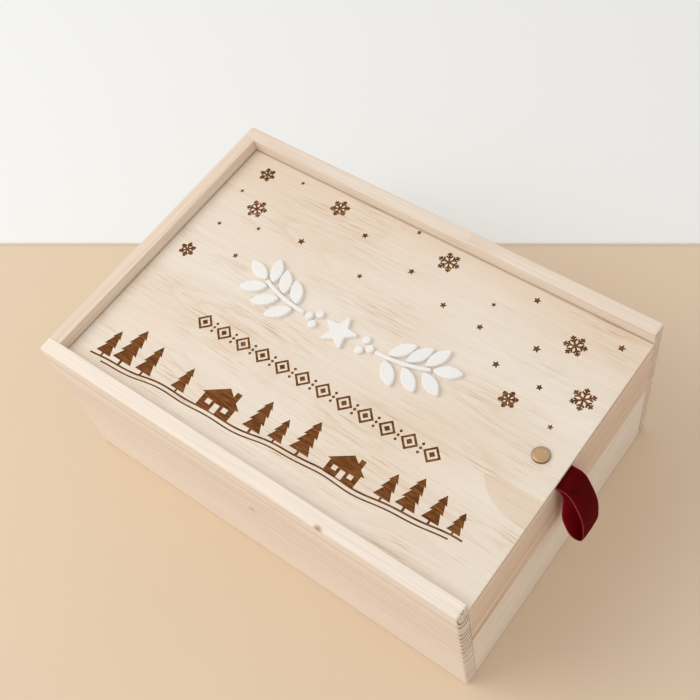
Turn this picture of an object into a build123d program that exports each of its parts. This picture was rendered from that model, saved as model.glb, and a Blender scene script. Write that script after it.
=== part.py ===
from build123d import *
import os
from math import cos, radians, sin

# A pine keepsake box with a sliding plywood lid. Millimetres, +Z up. The origin is the centre of the
# base's underside, +X points to the end where the lid slides out, and +Y to the back wall.

# Box
BOX_LENGTH = 350.0
BOX_WIDTH = 238.0
BOX_HEIGHT = 136.0
WALL = 11.0
SEAM_HEIGHT = 68.0
OUTER_ROUND = 2.0
INNER_ROUND = 0.8

# Base panel, let into a rebate from below
BASE_THICKNESS = 4.0
BASE_LEDGE = 5.0
BASE_FIT = 0.2

# Lid, its groove, and the gap under it where the pull comes out
LIP = 9.5
LID_THICKNESS = 3.0
LID_LEDGE = 5.0
LID_SIDE_FIT = 0.5
LID_FACE_FIT = 0.2
LID_END_ROUND = 0.5
PULL_GAP = 2.6

# Brads
BRAD_DIAMETER = 1.2
BRAD_HEAD_DIAMETER = 2.2
BRAD_HEAD_THICKNESS = 0.6
BASE_BRAD_LENGTH = 14.0
SIDE_BRAD_COUNT = 5
END_BRAD_COUNT = 3
BASE_BRAD_MARGIN = 30.0
CORNER_BRAD_LENGTH = 25.0
CORNER_BRAD_SET = 2.0
CORNER_BRAD_COUNT = 4
CORNER_BRAD_MARGIN = 20.0

# Stud that clamps the ribbon's ends
STUD_INSET = 18.3
STUD_OFFSET = 0.0
STUD_DIAMETER = 12.4
STUD_HEIGHT = 1.8
STUD_BEVEL = 0.7
STUD_POST_DIAMETER = 4.0
STUD_PIN_DIAMETER = 2.4
STUD_PIN_LENGTH = 4.0
STUD_BACK_DIAMETER = 10.0
STUD_BACK_THICKNESS = 0.8
STUD_HOLE_FIT = 0.1

# Ribbon: reaches are from the lid's end face, drops from the middle of the upper layer
RIBBON_WIDTH = 19.0
RIBBON_THICKNESS = 0.6
RIBBON_OFFSET = -3.5
RIBBON_LAYER_GAP = 0.1
RIBBON_TAIL = 32.0
CROWN_REACH = 9.0
CROWN_ROUND = 7.0
BELLY_REACH = 20.5
BELLY_DROP = 27.0
BELLY_ROUND = 60.0
TOE_REACH = 21.3
TOE_ROUND = 5.0
LOOP_DROP = 57.0
HEEL_REACH = 13.0
HEEL_ROUND = 4.6
BACK_REACH = 6.0
BACK_DROP = 38.0
BACK_ROUND = 20.0
RETURN_ROUND = 5.0

# Raised ornament: a star between two leafy sprigs, with berries
ORNAMENT_THICKNESS = 3.0
ORNAMENT_ROUND = 1.0
TIP_ROUND = 1.2
ORNAMENT_X = -6.0
ORNAMENT_Y = 6.0
STAR_RADIUS = 15.0
STAR_NOTCH_RADIUS = 6.6
STAR_POINTS = 5
BERRY_DIAMETER = 6.0
BERRY_INNER_REACH = 20.0
BERRY_OUTER_REACH = 26.0
BERRY_SPREAD = 4.5
SPRIG_START = 30.5
SPRIG_LENGTH = 40.0
SPRIG_RISE = 8.0
STEM_WIDTH = 3.0
LEAF_PAIRS = 3
LEAF_LENGTH = 21.0
LEAF_WIDTH = 9.5
LEAF_TILT = 48.0
LEAF_GAP = 0.8

# Places that follow from the sizes
END_X = BOX_LENGTH / 2
SIDE_Y = BOX_WIDTH / 2
INNER_X = END_X - WALL
INNER_Y = SIDE_Y - WALL
LID_TOP = BOX_HEIGHT - LIP
LID_BOTTOM = LID_TOP - LID_THICKNESS
RIGHT_END_TOP = LID_BOTTOM - PULL_GAP
RIBBON_PITCH = RIBBON_THICKNESS + RIBBON_LAYER_GAP
CLAMP_BOTTOM = LID_BOTTOM - RIBBON_THICKNESS - RIBBON_PITCH
STUD_AT = Pos(END_X - STUD_INSET, STUD_OFFSET, 0)
ABOVE = (Align.CENTER, Align.CENTER, Align.MIN)


def slab(x0, x1, y0, y1, z0, z1):
    """A block between its low and its high limits."""
    return Pos((x0 + x1) / 2, (y0 + y1) / 2, (z0 + z1) / 2) * Box(x1 - x0, y1 - y0, z1 - z0)


def spread(limit, count):
    """Evenly spaced places from -limit to +limit."""
    return [limit * (2 * i / (count - 1) - 1) for i in range(count)]


def edges_at(solid, x=None, y=None, z=None):
    """The edges whose middles lie at the given coordinates."""
    found = solid.edges()
    for axis, value in ((Axis.X, x), (Axis.Y, y), (Axis.Z, z)):
        if value is not None:
            found = found.filter_by_position(axis, value - 1e-4, value + 1e-4)
    return found


def wall_pockets():
    """The space that the lid's edges and the base's edges take out of the walls."""
    lid_x = INNER_X + LID_LEDGE
    lid_y = INNER_Y + LID_LEDGE
    groove = slab(-lid_x, END_X, -lid_y, lid_y, LID_BOTTOM - LID_FACE_FIT, LID_TOP + LID_FACE_FIT)
    base_x = INNER_X + BASE_LEDGE
    base_y = INNER_Y + BASE_LEDGE
    return groove + slab(-base_x, base_x, -base_y, base_y, 0, BASE_THICKNESS)


def long_wall(side):
    """A wall along X on the given side of the box, as long as the box."""
    low, high = sorted((side * INNER_Y, side * SIDE_Y))
    wall = slab(-END_X, END_X, low, high, 0, BOX_HEIGHT)
    outer = wall.edges() - edges_at(wall, y=side * INNER_Y)
    wall = fillet(outer, OUTER_ROUND)
    inner_top = edges_at(wall, x=0, y=side * INNER_Y, z=BOX_HEIGHT)
    return fillet(inner_top, INNER_ROUND)


def end_wall(side, top, top_round):
    """A wall along Y at the given end of the box, between the long walls."""
    low, high = sorted((side * INNER_X, side * END_X))
    wall = slab(low, high, -INNER_Y, INNER_Y, 0, top)
    wall = fillet(edges_at(wall, x=side * END_X, y=0, z=0), OUTER_ROUND)
    wall = fillet(edges_at(wall, x=side * END_X, y=0, z=top), top_round)
    return fillet(edges_at(wall, x=side * INNER_X, y=0, z=top), INNER_ROUND)


def strips(name, wall):
    """The wall's lower and upper boards, glued edge to edge at the seam."""
    below = slab(-END_X, END_X, -SIDE_Y, SIDE_Y, 0, SEAM_HEIGHT)
    return {name + "_lower": wall & below, name + "_upper": wall - below}


def brad(length):
    """A brad with its head's top at the origin and its shank along +Z."""
    head = Cylinder(BRAD_HEAD_DIAMETER / 2, BRAD_HEAD_THICKNESS, align=ABOVE)
    return head + Cylinder(BRAD_DIAMETER / 2, length, align=ABOVE)


def base_brads():
    """Brads driven up through the base's edges into the walls."""
    row_x = INNER_X + BASE_LEDGE / 2
    row_y = INNER_Y + BASE_LEDGE / 2
    long_rows = [(x, y) for x in spread(END_X - BASE_BRAD_MARGIN, SIDE_BRAD_COUNT) for y in (-row_y, row_y)]
    end_rows = [(x, y) for y in spread(SIDE_Y - BASE_BRAD_MARGIN, END_BRAD_COUNT) for x in (-row_x, row_x)]
    return [Pos(x, y, 0) * brad(BASE_BRAD_LENGTH) for x, y in long_rows + end_rows]


def corner_brads():
    """Brads set below the long walls' faces and driven into the end walls' ends."""
    half = (RIGHT_END_TOP - 2 * CORNER_BRAD_MARGIN) / 2
    heights = [CORNER_BRAD_MARGIN + half + step for step in spread(half, CORNER_BRAD_COUNT)]
    brads = []
    for x in (-END_X + WALL / 2, END_X - WALL / 2):
        for side in (-1, 1):
            turn = Rot(90 * side, 0, 0)
            brads += [Pos(x, side * (SIDE_Y - CORNER_BRAD_SET), z) * turn * brad(CORNER_BRAD_LENGTH)
                      for z in heights]
    return brads


def base_panel():
    x = INNER_X + BASE_LEDGE - BASE_FIT
    y = INNER_Y + BASE_LEDGE - BASE_FIT
    return slab(-x, x, -y, y, 0, BASE_THICKNESS)


def lid_panel():
    """A plywood sheet whose pull end is flush with the box's end."""
    x = INNER_X + LID_LEDGE - LID_SIDE_FIT
    y = INNER_Y + LID_LEDGE - LID_SIDE_FIT
    panel = slab(-x, END_X, -y, y, LID_BOTTOM, LID_TOP)
    panel = fillet(edges_at(panel, x=END_X, y=0), LID_END_ROUND)
    return panel - stud_hole()


def stud_hole():
    radius = STUD_POST_DIAMETER / 2 + STUD_HOLE_FIT
    return STUD_AT * Pos(0, 0, CLAMP_BOTTOM) * Cylinder(radius, LID_TOP - CLAMP_BOTTOM, align=ABOVE)


def stud_pin():
    return STUD_AT * Pos(0, 0, CLAMP_BOTTOM) * Cylinder(STUD_PIN_DIAMETER / 2, STUD_PIN_LENGTH, align=ABOVE)


def stud_cap():
    """The stud's disc with its hollow post, which stands on the stud's back."""
    disc = Cylinder(STUD_DIAMETER / 2, STUD_HEIGHT, align=ABOVE)
    disc = chamfer(disc.edges().group_by(Axis.Z)[-1], STUD_BEVEL)
    post = Cylinder(STUD_POST_DIAMETER / 2, LID_TOP - CLAMP_BOTTOM, align=ABOVE)
    return STUD_AT * (Pos(0, 0, LID_TOP) * disc + Pos(0, 0, CLAMP_BOTTOM) * post) - stud_pin()


def stud_back():
    """The stud's lower disc, with the pin that is pressed into the post."""
    disc = Cylinder(STUD_BACK_DIAMETER / 2, STUD_BACK_THICKNESS, align=ABOVE)
    return STUD_AT * Pos(0, 0, CLAMP_BOTTOM - STUD_BACK_THICKNESS) * disc + stud_pin()


def ribbon_pull():
    """A ribbon folded to a hanging loop, with both ends under the lid."""
    route = [
        (-RIBBON_TAIL, 0),
        (CROWN_REACH, 0),
        (BELLY_REACH, -BELLY_DROP),
        (TOE_REACH, -LOOP_DROP),
        (HEEL_REACH, -LOOP_DROP),
        (BACK_REACH, -BACK_DROP),
        (BACK_REACH, -RIBBON_PITCH),
        (-RIBBON_TAIL, -RIBBON_PITCH),
    ]
    rounds = [CROWN_ROUND, BELLY_ROUND, TOE_ROUND, HEEL_ROUND, BACK_ROUND, RETURN_ROUND]
    middle = FilletPolyline(*route, radius=rounds)
    band = Sketch() + [trace(stretch, RIBBON_THICKNESS) for stretch in middle.edges()]
    far_edge = RIBBON_OFFSET + RIBBON_WIDTH / 2
    place = Plane((END_X, far_edge, LID_BOTTOM - RIBBON_THICKNESS / 2), x_dir=(1, 0, 0), z_dir=(0, -1, 0))
    return place * extrude(band, RIBBON_WIDTH) - stud_hole()


def rounded(face):
    """A piece of the ornament with rounded tips and a rounded upper edge, standing on z = 0."""
    piece = extrude(fillet(face.vertices(), TIP_ROUND), ORNAMENT_THICKNESS)
    return fillet(piece.edges().group_by(Axis.Z)[-1], ORNAMENT_ROUND)


def on_lid(piece):
    """The piece glued on the lid, at its place from the ornament's middle."""
    return Pos(ORNAMENT_X, ORNAMENT_Y, LID_TOP) * piece


def center_star():
    points = []
    for i in range(2 * STAR_POINTS):
        angle = radians(90 + 180 * i / STAR_POINTS)
        radius = STAR_NOTCH_RADIUS if i % 2 else STAR_RADIUS
        points.append((radius * cos(angle), radius * sin(angle)))
    return rounded(make_face(Polyline(*points, close=True)))


def leaf():
    """A leaf along +X from the origin."""
    tip = (LEAF_LENGTH, 0)
    upper = ThreePointArc((0, 0), (LEAF_LENGTH / 2, LEAF_WIDTH / 2), tip)
    lower = ThreePointArc((0, 0), (LEAF_LENGTH / 2, -LEAF_WIDTH / 2), tip)
    return rounded(make_face([upper, lower]))


def stem_line():
    """The middle of the right stem, which bends up from the X axis."""
    return TangentArc((SPRIG_START, 0), (SPRIG_START + SPRIG_LENGTH, SPRIG_RISE), tangent=(1, 0))


def right_leaves():
    """Pairs of leaves beside the right stem, and one leaf past its end."""
    stem = stem_line()
    beside = (STEM_WIDTH / 2 + LEAF_GAP) / sin(radians(LEAF_TILT))
    places = [((i + 0.5) / LEAF_PAIRS, turn, beside) for i in range(LEAF_PAIRS) for turn in (-LEAF_TILT, LEAF_TILT)]
    leaves = []
    for along, turn, away in places + [(1, 0, LEAF_GAP)]:
        at = stem.position_at(along)
        heading = stem.tangent_angle_at(along)
        leaves.append(Pos(at.X, at.Y, 0) * Rot(0, 0, heading + turn) * Pos(away, 0, 0) * leaf())
    return leaves


def both_sides(pieces):
    """The right-hand pieces and their mirror images, on the lid."""
    return [on_lid(piece) for piece in pieces] + [on_lid(mirror(piece, about=Plane.YZ)) for piece in pieces]


def right_berries():
    disc = extrude(Circle(BERRY_DIAMETER / 2), ORNAMENT_THICKNESS)
    berry = fillet(disc.edges().group_by(Axis.Z)[-1], ORNAMENT_ROUND)
    cluster = [
        (BERRY_INNER_REACH, BERRY_SPREAD),
        (BERRY_INNER_REACH, -BERRY_SPREAD),
        (BERRY_OUTER_REACH, 0),
    ]
    return [Pos(x, y, 0) * berry for x, y in cluster]


def build():
    """Every piece, by its name."""
    pockets = wall_pockets()
    walls = {}
    walls.update(strips("front_wall", long_wall(-1) - pockets))
    walls.update(strips("back_wall", long_wall(1) - pockets))
    walls.update(strips("left_end", end_wall(-1, BOX_HEIGHT, OUTER_ROUND) - pockets))
    walls.update(strips("right_end", end_wall(1, RIGHT_END_TOP, INNER_ROUND) - pockets))
    nails_up = base_brads()
    nails_in = corner_brads()
    pieces = {name: wall - nails_up - nails_in for name, wall in walls.items()}
    pieces["base_panel"] = base_panel() - nails_up
    pieces["base_brads"] = Compound(children=nails_up)
    pieces["corner_brads"] = Compound(children=nails_in)
    pieces["lid_panel"] = lid_panel()
    pieces["ribbon_pull"] = ribbon_pull()
    pieces["stud_cap"] = stud_cap()
    pieces["stud_back"] = stud_back()
    pieces["center_star"] = on_lid(center_star())
    pieces["sprig_stems"] = Compound(children=both_sides([rounded(trace(stem_line(), STEM_WIDTH))]))
    pieces["sprig_leaves"] = Compound(children=both_sides(right_leaves()))
    pieces["sprig_berries"] = Compound(children=both_sides(right_berries()))
    return pieces


def main():
    os.makedirs("parts", exist_ok=True)
    for name, piece in build().items():
        export_step(piece, "parts/" + name + ".step")


if __name__ == "__main__":
    main()
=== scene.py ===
"""Dresses a pine keepsake box with a sliding, engraved plywood lid, and sets it on a plain floor."""

import math
from typing import NamedTuple

import bpy
import numpy as np
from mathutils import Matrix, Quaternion, Vector
from mathutils.geometry import delaunay_2d_cdt


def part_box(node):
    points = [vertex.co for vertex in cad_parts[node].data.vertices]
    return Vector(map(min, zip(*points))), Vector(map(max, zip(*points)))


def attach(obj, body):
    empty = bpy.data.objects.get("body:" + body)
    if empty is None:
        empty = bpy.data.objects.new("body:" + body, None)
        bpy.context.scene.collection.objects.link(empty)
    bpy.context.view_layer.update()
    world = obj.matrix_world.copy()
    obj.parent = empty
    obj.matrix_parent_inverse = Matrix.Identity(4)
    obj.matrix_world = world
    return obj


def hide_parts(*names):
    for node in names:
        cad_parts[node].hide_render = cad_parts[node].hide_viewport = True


bl_info = {
    "name": "Pine Box With Sliding Lid",
    "version": (1, 0, 0),
    "blender": (4, 5, 0),
    "location": "3D View > Sidebar > Pine Box",
    "description": "Finishes the boards, lid, ribbon, stud and ornament of a pine box",
    "category": "Object",
}

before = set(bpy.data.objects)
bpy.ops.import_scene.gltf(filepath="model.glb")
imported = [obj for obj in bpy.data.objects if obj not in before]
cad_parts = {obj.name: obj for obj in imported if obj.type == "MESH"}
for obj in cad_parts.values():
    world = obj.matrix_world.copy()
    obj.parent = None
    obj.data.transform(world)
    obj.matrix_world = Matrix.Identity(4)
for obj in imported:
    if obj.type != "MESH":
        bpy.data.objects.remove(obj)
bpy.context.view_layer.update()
MM = 0.001

# Places that the frame gives, in millimetres
LID_LOW, LID_HIGH = (np.array(corner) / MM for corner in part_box("lid_panel"))
STUD_LOW, STUD_HIGH = (np.array(corner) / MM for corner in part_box("stud_cap"))
RIBBON_LOW, RIBBON_HIGH = (np.array(corner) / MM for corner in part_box("ribbon_pull"))
WALL_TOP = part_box("front_wall_upper")[1][2] / MM
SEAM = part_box("front_wall_upper")[0][2] / MM
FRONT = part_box("front_wall_upper")[0][1] / MM
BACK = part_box("back_wall_upper")[1][1] / MM
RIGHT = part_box("right_end_upper")[1][0] / MM
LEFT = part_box("left_end_upper")[0][0] / MM
LEFT_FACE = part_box("left_end_lower")[1][0] / MM
BACK_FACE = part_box("back_wall_lower")[0][1] / MM

# Tones of the lid's face, in the order of its material slots
PLAIN, SCORCHED, BURNT, PLY_EDGE = range(4)

# Common ornaments burnt into the lid: x, y and diameter, then x, y and radius, in millimetres
SNOWFLAKES = (
    (-140, 92, 13.0), (-126, 62, 16.5), (-72, 94, 15.0), (-147, 6, 13.0),
    (24, 94, 17.0), (133, 80, 16.5), (118, 23, 13.5), (158, 48, 17.5),
)
STARS = (
    (-147, 70, 1.9), (-111, 99, 1.9), (-142, 37, 2.0), (-113, 48, 2.0), (-78, 55, 3.2), (-112, 20, 2.5),
    (-41, 83, 2.8), (-9, 105, 2.2), (6, 74, 2.8), (-23, 52, 2.4), (41, 62, 2.8), (70, 80, 2.0),
    (93, 98, 3.0), (72, 60, 2.8), (113, 65, 3.2), (159, 94, 3.0), (97, 41, 3.0), (130, 41, 2.6),
    (151, 20, 2.3),
)
# A winter wood along the lid's front: x, height, width and tiers of each fir, and x, width and height of
# each hut, in millimetres
FIRS = (
    (-139, 24, 13, 3), (-123, 33, 17, 4), (-104, 27, 14, 3), (-74, 22, 12, 3), (-11, 28, 15, 4),
    (7, 20, 12, 3), (26, 29, 16, 4), (90, 22, 13, 3), (106, 27, 15, 4), (124, 23, 13, 3), (140, 17, 10, 3),
)
HUTS = ((-42, 27, 11), (59, 24, 10))

# Tip of the tan patch in the lid's veneer, in millimetres
PATCH_X, PATCH_Y = 133.5, -29.5

# The ribbon's loop in side view: reach past the lid's end, drop below its upper layer, and the rounding of
# each corner, in millimetres
CROWN_REACH = 9.0
BELLY_REACH, BELLY_DROP = 20.5, 27.0
HEEL_REACH = 13.0
RETURN_REACH, RETURN_DROP = 6.0, 38.0
LOOP_ROUNDS = (7, 60, 5, 4.6, 20, 5)


def linear(code):
    """An sRGB hex colour as linear red, green and blue."""
    parts = [int(code[i:i + 2], 16) / 255 for i in (1, 3, 5)]
    return tuple(c / 12.92 if c <= 0.04045 else ((c + 0.055) / 1.055) ** 2.4 for c in parts)


def color(name, description, code):
    """A colour setting, from an sRGB hex value."""
    return bpy.props.FloatVectorProperty(
        name=name, description=description, default=linear(code), subtype="COLOR", size=3, min=0, max=1)


def size(name, description, millimetres):
    """A length setting, from millimetres."""
    return bpy.props.FloatProperty(
        name=name, description=description, default=millimetres * MM, unit="LENGTH", min=0, precision=5)


class BoardSettings(bpy.types.PropertyGroup):
    early: color("Early wood", "Pale wood between the rings", "#F8EADB")
    late: color("Late wood", "Darker line at the end of each ring", "#BF9470")
    sawn: color("Sawn end", "Darker line at the end of each ring, on a sawn end", "#8F6540")
    warm: color("Warm tone", "Pinkish tone that drifts through the boards", "#EFD6C0")
    knot: color("Knot", "Heart of a pin knot", "#BE9878")
    steel: color("Brads", "Bright wire of the brads", "#B9B9B6")


class LidSettings(bpy.types.PropertyGroup):
    veneer: color("Veneer", "Face veneer of the plywood", "#F1E5D6")
    figure: color("Figure", "Darker lines of the veneer", "#CDA981")
    warm: color("Warm tone", "Warm patches of the veneer", "#E6CDB2")
    scorched: color("Scorched", "Darkest of the fine engraved lines", "#5C3615")
    singed: color("Singed", "Palest of the fine engraved lines", "#8F6034")
    charred: color("Charred", "Darkest of the broad engraved shapes", "#5E3618")
    burnt: color("Burnt", "Palest of the broad engraved shapes", "#8A5830")
    depth: size("Engraving depth", "How deep the engraving goes", 0.4)
    arris: size("Arris", "Eased edge of the sheet", 0.4)
    stroke: size("Fine stroke", "Width of the finest engraved line", 1.35)
    rim: size("Scorched rim", "Width of the dark rim of a broad shape", 0.7)


class OrnamentSettings(bpy.types.PropertyGroup):
    white: color("White", "Matte white acrylic", "#F4F1EC")


class RibbonSettings(bpy.types.PropertyGroup):
    nap: color("Nap", "Velvet seen into its nap", "#560408")
    # Painted sheen: a lighter red for the strand that comes back, for the light it catches
    brushed_and_sheen: color("Painted sheen strand", "Velvet of the strand that comes back", "#960512")
    sheen: color("Sheen", "Velvet seen along its nap", "#B01020")
    selvedge: color("Selvedge", "Woven edge of the ribbon", "#9C3A42")
    thickness: size("Thickness", "Ground cloth and nap together", 0.7)
    bow: size("Bow", "How far the ribbon's middle stands out", 0.5)


class StudSettings(bpy.types.PropertyGroup):
    brass: color("Brass", "Worn face of the stud", "#C0A17C")
    patina: color("Patina", "Dark finish left in the rim", "#4A3620")


class StageSettings(bpy.types.PropertyGroup):
    floor: color("Floor", "Pale table top", "#E4CEB2")
    beyond: color("Beyond", "White ground behind the table top", "#F3F3F0")
    key_power: bpy.props.FloatProperty(
        name="Key power", description="Soft light from the left", default=13.0, unit="POWER")
    fill: bpy.props.FloatProperty(name="Fill", description="Even light from all sides", default=0.74, min=0)
    lens: bpy.props.FloatProperty(name="Lens", description="Focal length", default=54.9, unit="CAMERA")


def node(tree, kind, inputs=None, stops=(), **settings):
    """Adds a shader node, makes its settings, and sets or links its inputs by name or number.

    An input that is a node is linked from that node's first output in use.
    """
    new = tree.nodes.new("ShaderNode" + kind)
    for name, value in settings.items():
        setattr(new, name, value)
    for key, value in (inputs or {}).items():
        if isinstance(value, bpy.types.Node):
            value = next(socket for socket in value.outputs if socket.enabled)
        if isinstance(value, bpy.types.NodeSocket):
            tree.links.new(value, new.inputs[key])
        else:
            new.inputs[key].default_value = value
    for place, shade in stops:
        stop = new.color_ramp.elements[0] if place == 0 else new.color_ramp.elements.new(place)
        stop.color = (*shade, 1)
    if stops:
        # A new ramp ends in white at 1, past the given stops
        new.color_ramp.elements.remove(new.color_ramp.elements[-1])
    return new


def new_material(name, coordinates="Object"):
    """An empty node material, its node tree, and the coordinates that its patterns follow."""
    material = bpy.data.materials.new(name)
    material.use_nodes = True
    tree = material.node_tree
    tree.nodes.clear()
    return material, tree, node(tree, "TexCoord").outputs[coordinates]


def surface(material, inputs):
    """Closes a material with its surface shader, whose inputs are given by name."""
    tree = material.node_tree
    shader = node(tree, "BsdfPrincipled", inputs)
    node(tree, "OutputMaterial", {"Surface": shader})
    return material


def streaks(tree, vector, scale, detail, shift=(0, 0, 0), turn=0.0):
    """Noise with its own scale along each axis, in cells to the metre."""
    moved = node(tree, "Mapping", {
        "Vector": vector, "Location": shift, "Rotation": (0, 0, turn), "Scale": scale})
    return node(tree, "TexNoise", {"Vector": moved, "Scale": 1.0, "Detail": detail})


def grey(value):
    """A neutral colour or an even vector."""
    return (value, value, value)


class Board(NamedTuple):
    """How one board is cut: its rings run about a heart line along the grain. Lengths are millimetres."""

    grain: str  # X or Y
    heart: tuple  # place of the heart line: Y, or -X where the grain runs along Y, and height
    squeeze: float = 1.0  # how much the rings are narrowed across the board
    ring: float = 4.0  # spacing of the rings
    contrast: float = 0.5
    warmth: float = 0.5
    seed: float = 0.0
    tint: str = "#FFFFFF"
    sap: tuple = ()  # height of the plain sapwood, and the height from which the rings are full
    joint: float = 0.0  # place of a finger joint along the grain, where there is one
    knots: tuple = ()  # x, y, z and radius of each pin knot


def along_grain(tree, place, board):
    """The place with X along the board's grain. Past a finger joint it is moved into other wood."""
    turn = -math.pi / 2 if board.grain == "Y" else 0.0
    along = node(tree, "Mapping", {"Vector": place, "Rotation": (0, 0, turn)})
    if not board.joint:
        return along
    x = node(tree, "SeparateXYZ", {0: place}).outputs["X"]
    joint = board.joint * MM
    other = node(tree, "MapRange", {0: x, 1: joint, 2: joint + 0.2 * MM})
    shift = node(tree, "VectorMath", {0: (0.4, 7 * MM, 23 * MM), 3: other}, operation="SCALE")
    return node(tree, "VectorMath", {0: along, 1: shift}, operation="ADD")


def ring_phase(tree, along, board):
    """Rings counted from the heart line: the distance from it across the grain, over the rings' spacing."""
    # A slow drift bends the rings: about 200 mm long and 40 mm wide
    drift = streaks(tree, along, (5, 26, 26), 2.0, (board.seed, board.seed, 0)).outputs["Color"]
    middled = node(tree, "VectorMath", {0: drift, 1: grey(0.5)}, operation="SUBTRACT")
    bend = node(tree, "VectorMath", {0: middled, 1: (0, 5 * MM, 10 * MM)}, operation="MULTIPLY")
    bent = node(tree, "VectorMath", {0: along, 1: bend}, operation="ADD")
    heart = (0, -board.heart[0] * MM, -board.heart[1] * MM)
    out = node(tree, "VectorMath", {0: bent, 1: heart}, operation="ADD")
    across = node(tree, "VectorMath", {0: out, 1: (0, board.squeeze, 1)}, operation="MULTIPLY")
    radius = node(tree, "VectorMath", {0: across}, operation="LENGTH")
    return node(tree, "Math", {0: radius, 1: board.ring * MM}, operation="DIVIDE")


def pin_knots(tree, place, phase, knots):
    """The rings' phase with a swirl about each knot, and how far each place lies in a knot's heart."""
    heart = 0.0
    for x, y, z, reach in knots:
        out = node(tree, "VectorMath", {0: place, 1: (x * MM, y * MM, z * MM)}, operation="SUBTRACT")
        oval = node(tree, "VectorMath", {0: out, 1: (0.55, 1, 1)}, operation="MULTIPLY")
        gap = node(tree, "VectorMath", {0: oval}, operation="LENGTH")
        core = node(tree, "MapRange", {0: gap, 1: 0.2 * reach * MM, 2: 1.2 * reach * MM, 3: 1.0, 4: 0.0},
                    interpolation_type="SMOOTHSTEP")
        swirl = node(tree, "MapRange", {0: gap, 1: 0.0, 2: 4 * reach * MM, 3: 1.2, 4: 0.0},
                     interpolation_type="SMOOTHSTEP")
        phase = node(tree, "Math", {0: phase, 1: swirl}, operation="ADD")
        heart = node(tree, "Math", {0: heart, 1: core}, operation="MAXIMUM")
    return phase, heart


def ring_lines(tree, phase, contrast):
    """The dark line of late wood that ends each ring, with a strength that changes from ring to ring."""
    step = node(tree, "Math", {0: phase}, operation="FRACT")
    late = node(tree, "ValToRGB", {"Fac": step}, stops=(
        (0, grey(0.0)), (0.3, grey(0.06)), (0.66, grey(0.4)), (0.9, grey(1.0)), (0.985, grey(0.15))))
    number = node(tree, "Math", {0: phase}, operation="FLOOR")
    luck = node(tree, "TexWhiteNoise", {"W": number}, noise_dimensions="1D")
    strength = node(tree, "MapRange", {0: luck, 3: 0.2 * contrast, 4: contrast})
    return node(tree, "Math", {0: late, 1: strength}, operation="MULTIPLY")


def pine(name, s, board):
    """Sanded, bare pine: its rings show as lines along the faces and as darker arcs on the sawn ends."""
    material, tree, place = new_material(name)
    split = node(tree, "SeparateXYZ", {0: place})
    along = along_grain(tree, place, board)
    phase, knot = pin_knots(tree, place, ring_phase(tree, along, board), board.knots)
    lines = ring_lines(tree, phase, board.contrast)
    # The sawn ends soak up light: their rings are bolder and browner
    off = node(tree, "Math", {0: split.outputs["X"]}, operation="ABSOLUTE")
    sawn = 1.0 if board.grain == "X" else 0.0
    end = node(tree, "MapRange", {0: off, 1: (RIGHT - 1.0) * MM, 2: (RIGHT - 0.4) * MM, 3: 0.0, 4: sawn},
               interpolation_type="SMOOTHSTEP")
    ringed = 1.0
    if board.sap:
        plain, full = board.sap
        height = split.outputs["Z"]
        ringed = node(tree, "MapRange", {0: height, 1: plain * MM, 2: full * MM, 3: 0.15, 4: 1.0},
                      interpolation_type="SMOOTHSTEP")
        ringed = node(tree, "Math", {0: ringed, 1: end}, operation="MAXIMUM")
    lines = node(tree, "Math", {0: lines, 1: ringed}, operation="MULTIPLY")
    bolder = node(tree, "MapRange", {0: end, 3: 1.0, 4: 2.2})
    lines = node(tree, "Math", {0: lines, 1: bolder}, operation="MULTIPLY", use_clamp=True)
    # Fibres about 50 mm long and 0.9 mm wide
    fibre = streaks(tree, along, (20, 1100, 1100), 3.0, (0, board.seed, board.seed))
    # Warm patches about 250 mm long and 30 mm wide
    patch = streaks(tree, along, (4, 34, 34), 1.0, (board.seed, 0, board.seed))
    warm = node(tree, "MapRange", {0: patch, 1: 0.35, 2: 0.65, 3: 0.0, 4: board.warmth})
    warm = node(tree, "Math", {0: warm, 1: ringed}, operation="MULTIPLY")
    tint = linear(board.tint)
    early = (*[a * b for a, b in zip(s.early, tint)], 1)
    warmer = (*[a * b for a, b in zip(s.warm, tint)], 1)
    ground = node(tree, "Mix", {0: warm, 6: early, 7: warmer}, data_type="RGBA")
    late = node(tree, "Mix", {0: end, 6: (*s.late, 1), 7: (*s.sawn, 1)}, data_type="RGBA")
    grained = node(tree, "Mix", {0: lines, 6: ground, 7: late}, data_type="RGBA")
    shade = node(tree, "MapRange", {0: fibre, 1: 0.25, 2: 0.75, 3: 0.9, 4: 1.05})
    duller = node(tree, "MapRange", {0: end, 3: 1.0, 4: 0.9})
    shade = node(tree, "Math", {0: shade, 1: duller}, operation="MULTIPLY")
    wood = node(tree, "Mix", {0: 1.0, 6: grained, 7: shade}, data_type="RGBA", blend_type="MULTIPLY")
    paint = node(tree, "Mix", {0: knot, 6: wood, 7: (*s.knot, 1)}, data_type="RGBA")
    relief = node(tree, "Math", {0: lines, 1: fibre}, operation="ADD")
    bump = node(tree, "Bump", {"Strength": 0.12, "Distance": 0.3 * MM, "Height": relief})
    rough = node(tree, "MapRange", {0: fibre, 3: 0.62, 4: 0.78})
    return surface(material, {
        "Base Color": paint, "Roughness": rough, "Normal": bump, "Specular IOR Level": 0.12})


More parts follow.
